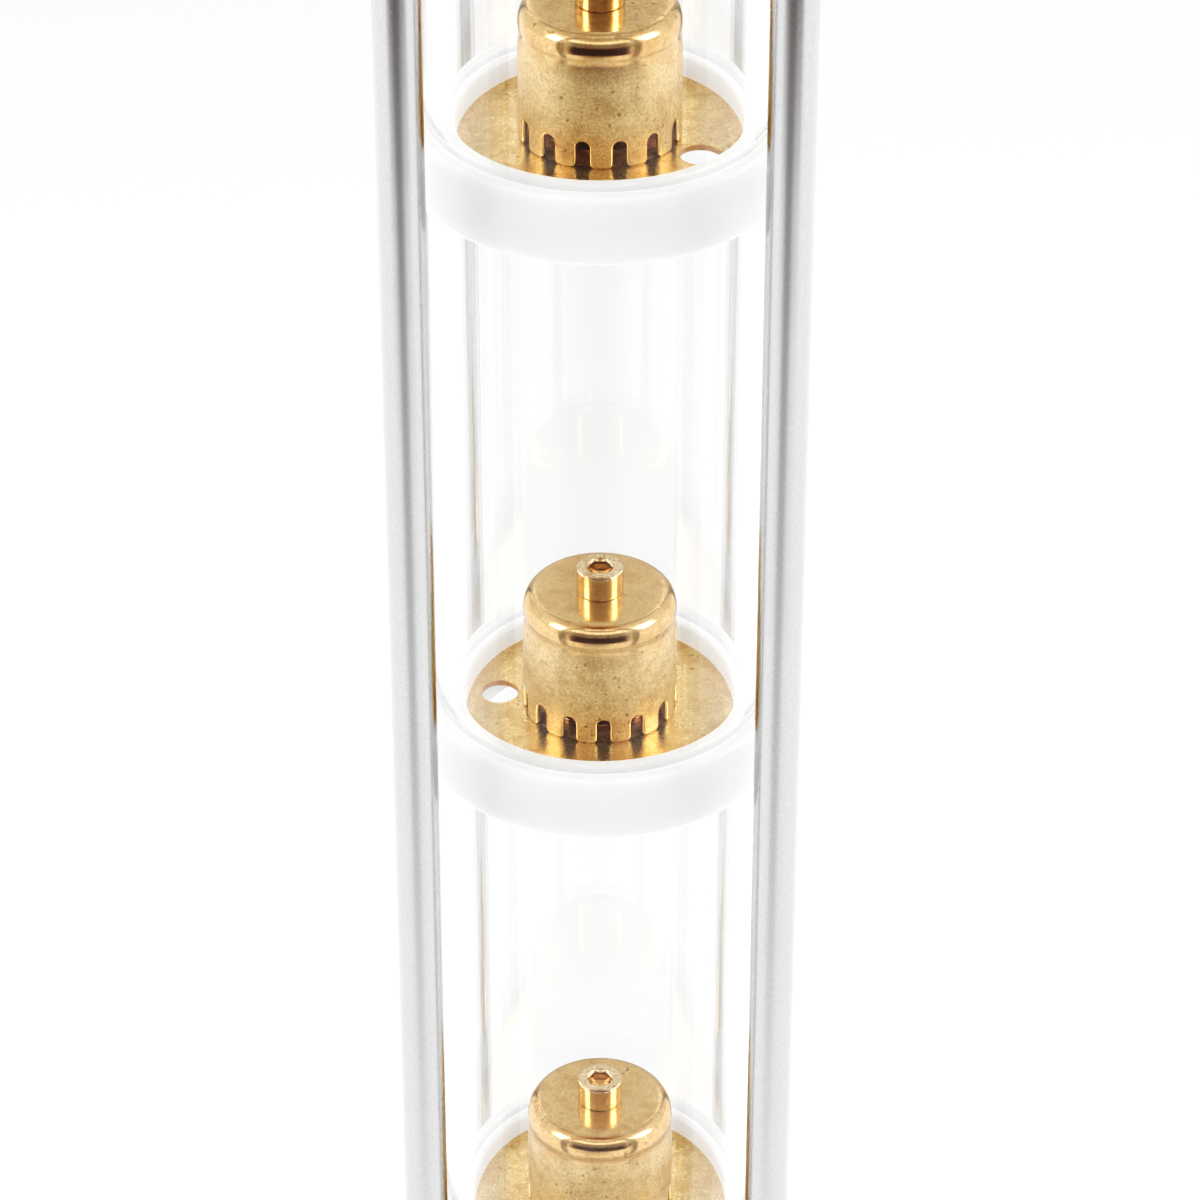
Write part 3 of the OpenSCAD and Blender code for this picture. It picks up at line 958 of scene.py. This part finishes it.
def screw_mesh(base):
    """A socket cap screw: threaded shank below base, round head with a hexagon socket above."""
    head_r, head_h, socket_across = 4.25, 5, 4
    plain, tip, end = -2, -15.5, -16
    steps = 96
    socket = hexagon(socket_across)
    bm = bmesh.new()
    head = rounded([(SCREW_R, 0, 0), (head_r, 0, 0.2), (head_r, head_h, 0.6), (2.9, head_h, 0)])
    head += [(2.62, head_h), (2.54, 4.96), (lambda a: socket(a) + 0.04, 4.56)]
    head += [(socket, 4.46), (socket, 3.6), (socket, 2.6), (1.6, 2.5), (0, 2.1)]
    turn(bm, head, base, steps, closed=False)
    turn(bm, [(SCREW_R, plain), (SCREW_R, 0)], base, steps, closed=False)
    thread(bm, base, tip, plain, SCREW_R, SCREW_PITCH, SCREW_DEPTH, steps)
    turn(bm, [(SCREW_R, tip), (SCREW_R - SCREW_DEPTH, end), (0, end)], base, steps, closed=False)

    def state(point):
        z, r = (point.z - base[2]) / MM, point.xy.length / MM
        # tarnish and painted shade on the shank under the cap and on the socket's floor
        shank, socket_floor = z < 0, 0 < z < 4 and r < 2.4
        return 1.0, 0.3 * shank + 0.12 * socket_floor

    return wear(mesh_from(bm, "screw"), state)


def make_screws():
    for n in PLATES:
        node = f"cap_screw_{n}"
        base = (0, 0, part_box(f"bubble_cap_{n}")[1].z)
        mesh = screw_mesh(base)
        piece(mesh, f"socket_screw_{n}", f"screw_{n}", LOOKS["screw"], "screw_brass", node, sharp=28)


# ---- rods, nuts, washers, flanges and ferrules ----


def rod_place(corner):
    """Where a corner's tie rod stands, as x and y in metres."""
    low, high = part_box(f"tie_rod_{corner}")
    return (low.x + high.x) / 2, (low.y + high.y) / 2


def make_rods():
    """Bars with a thread and a blunt tip at each end."""
    blunt = ROD_R - ROD_TIP
    for corner in CORNERS:
        node = f"tie_rod_{corner}"
        low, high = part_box(node)
        length = (high.z - low.z) / MM
        base = (*rod_place(corner), low.z)
        upper, tip = length - ROD_THREAD, length - ROD_TIP
        bm = bmesh.new()
        turn(bm, [(0, 0), (blunt, 0), (ROD_R, ROD_TIP)], base, steps=48, closed=False)
        thread(bm, base, ROD_TIP, ROD_THREAD, ROD_R, ROD_PITCH, ROD_DEPTH)
        turn(bm, [(ROD_R, ROD_THREAD), (ROD_R, upper)], base, steps=48, closed=False)
        thread(bm, base, upper, tip, ROD_R, ROD_PITCH, ROD_DEPTH)
        turn(bm, [(ROD_R, tip), (blunt, length), (0, length)], base, steps=48, closed=False)
        piece(mesh_from(bm, node), f"steel_rod_{corner}", "column", LOOKS["rod"], "rod_steel", node)


def make_fastenings():
    """Washers and nuts. The bottom nuts are one piece, and each top nut turns on its own body."""
    rim, thick = 8, 1.6
    washer = rounded([(ROD_HOLE, 0, 0.15), (rim, 0, 0.25), (rim, thick, 0.3), (ROD_HOLE, thick, 0.15)])
    for end in ENDS:
        node = f"{end}_washers"
        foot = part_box(node)[0].z
        bm = bmesh.new()
        for corner in CORNERS:
            turn(bm, washer, (*rod_place(corner), foot), steps=72)
        piece(mesh_from(bm, node), f"flat_{node}", "column", LOOKS["fastener"], "fastener_steel", node)
    bm = bmesh.new()
    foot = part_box("bottom_nuts")[0].z
    for corner in CORNERS:
        hex_nut(bm, (*rod_place(corner), foot), NUT_ACROSS, NUT_H, NUT_BORE)
    mesh, look = mesh_from(bm, "nuts"), LOOKS["fastener"]
    piece(mesh, "hex_nuts_bottom", "column", look, "fastener_steel", "bottom_nuts", bevel=0.15)
    for corner in CORNERS:
        node = f"top_nut_{corner}"
        base = (*rod_place(corner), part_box(node)[0].z)
        mesh = mesh_from(shape(lambda bm: hex_nut(bm, base, NUT_ACROSS, NUT_H, NUT_BORE)), node)
        piece(mesh, f"hex_nut_{corner}", f"nut_{corner}", look, "fastener_steel", node, bevel=0.15)


def make_flanges():
    """Discs with a recess for the end gasket and four countersunk rod holes; the top one is upside down."""
    recess_r, recess_z = SEAL_R + 0.1, 10
    disc = rounded([
        (PIPE_BORE, 0, 0.3), (FLANGE_R, 0, 1.0), (FLANGE_R, FLANGE_H, 1.0), (recess_r, FLANGE_H, 0.3),
        (recess_r, recess_z, 0), (PIPE_BORE, recess_z, 0.2),
    ])
    sink = 0.4
    wide, past = ROD_HOLE + sink, 1
    hole = [(0, -past), (wide, -past), (wide, 0), (ROD_HOLE, sink), (ROD_HOLE, FLANGE_H - sink)]
    hole += [(wide, FLANGE_H), (wide, FLANGE_H + past), (0, FLANGE_H + past)]
    for end in ENDS:
        node = f"{end}_flange"
        low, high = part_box(node)
        top = end == "top"
        base = (0, 0, high.z if top else low.z)
        mesh = mesh_from(shape(lambda bm: turn(bm, disc, base, steps=180, flip=top)), node)
        bm = bmesh.new()
        for corner in CORNERS:
            turn(bm, hole, (*rod_place(corner), base[2]), steps=64, closed=False, flip=top)
        mesh = carve(mesh, mesh_from(bm, "holes"))
        piece(mesh, f"steel_{node}", "column", LOOKS["flange"], "flange_steel", node)


def make_ferrules():
    """Pipe ends with a sloped clamp rim and a round gasket groove; the top one is upside down."""
    slope_top = FERRULE_RIM + (FERRULE_R - PIPE_R) * math.tan(math.radians(20))
    groove_r, groove_reach = 1.6, 28.2
    turns = [math.radians(a) for a in range(180, -1, -20)]
    groove = [(groove_reach + groove_r * math.cos(a), groove_r * math.sin(a), 0) for a in turns]
    outline = rounded([
        (PIPE_BORE, FERRULE_H, 0), (PIPE_BORE, 0, 0.3), *groove, (FERRULE_R, 0, 0.3),
        (FERRULE_R, FERRULE_RIM, 0.4), (PIPE_R, slope_top, 0.8), (PIPE_R, FERRULE_H, 0),
    ])
    for end in ENDS:
        node = f"{end}_ferrule"
        low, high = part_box(node)
        top = end == "top"
        base = (0, 0, high.z if top else low.z)
        mesh = mesh_from(shape(lambda bm: turn(bm, outline, base, steps=144, flip=top)), node)
        piece(mesh, f"clamp_{node}", "column", LOOKS["ferrule"], "ferrule_steel", node)


def make_pieces():
    make_glass()
    make_seals()
    make_gaskets()
    make_plates()
    make_risers()
    make_caps()
    make_screws()
    make_rods()
    make_fastenings()
    make_flanges()
    make_ferrules()
    # the bridges across the risers keep their CAD shape
    for n in PLATES:
        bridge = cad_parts[f"riser_bridge_{n}"].data
        bridge.materials.clear()
        bridge.materials.append(LOOKS["riser"])


make_camera()
make_floor()
make_mirror_room()
make_lights()
set_film()
LOOKS = make_materials()
make_pieces()
